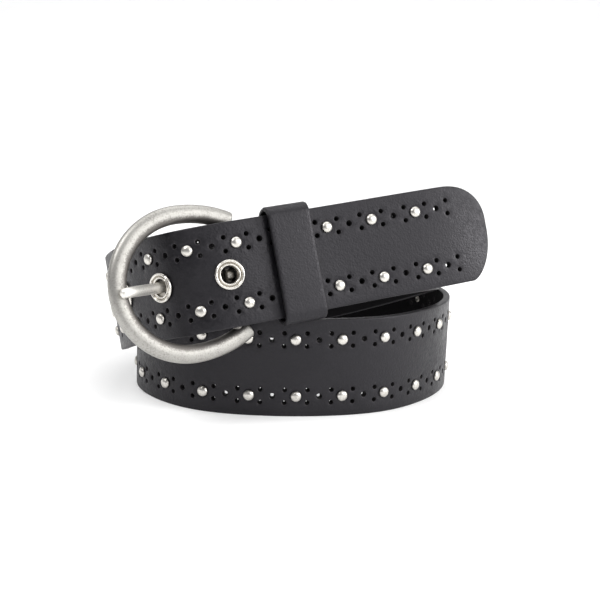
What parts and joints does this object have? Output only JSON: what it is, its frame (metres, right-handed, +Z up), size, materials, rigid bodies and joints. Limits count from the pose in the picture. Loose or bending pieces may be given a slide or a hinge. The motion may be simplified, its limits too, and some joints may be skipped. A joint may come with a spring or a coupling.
{
  "type": "studded leather belt",
  "caption": "Studded leather belt, buckled and coiled on its edge, with a round buckle, eyelets, a keeper and rows of domed studs and punched holes.",
  "frame": {"origin": "middle of the footprint's box, on the surface that the coil stands on", "axes": "+X towards the free tip, -Y towards the front with the buckle, +Z up"},
  "size_m": [0.1546, 0.1542, 0.088],
  "materials": {
    "strap_leather": "smooth black leather with a soft sheen",
    "buckle_metal": "satin antique nickel",
    "eyelet_metal": "polished nickel",
    "stud_metal": "polished nickel"
  },
  "bodies": {
    "root": {"strap": "strap_leather", "keeper": "strap_leather", "buckle_frame": "buckle_metal", "prong": "buckle_metal", "eyelet_1": "eyelet_metal", "eyelet_2": "eyelet_metal", "eyelet_3": "eyelet_metal", "eyelet_4": "eyelet_metal", "eyelet_5": "eyelet_metal", "stud_upper_0": "stud_metal", "stud_upper_1": "stud_metal", "stud_upper_2": "stud_metal", "stud_upper_3": "stud_metal", "stud_upper_4": "stud_metal", "stud_upper_5": "stud_metal", "stud_upper_6": "stud_metal", "stud_upper_7": "stud_metal", "stud_upper_8": "stud_metal", "stud_upper_22": "stud_metal", "stud_upper_23": "stud_metal", "stud_upper_24": "stud_metal", "stud_upper_25": "stud_metal", "stud_upper_26": "stud_metal", "stud_upper_27": "stud_metal", "stud_upper_28": "stud_metal", "stud_upper_29": "stud_metal", "stud_upper_30": "stud_metal", "stud_upper_31": "stud_metal", "stud_upper_32": "stud_metal", "stud_lower_0": "stud_metal", "stud_lower_1": "stud_metal", "stud_lower_2": "stud_metal", "stud_lower_3": "stud_metal", "stud_lower_4": "stud_metal", "stud_lower_5": "stud_metal", "stud_lower_6": "stud_metal", "stud_lower_7": "stud_metal", "stud_lower_8": "stud_metal", "stud_lower_22": "stud_metal", "stud_lower_23": "stud_metal", "stud_lower_24": "stud_metal", "stud_lower_25": "stud_metal", "stud_lower_26": "stud_metal", "stud_lower_27": "stud_metal", "stud_lower_28": "stud_metal", "stud_lower_29": "stud_metal", "stud_lower_30": "stud_metal", "stud_lower_31": "stud_metal", "stud_lower_32": "stud_metal"}
  },
  "joints": []
}
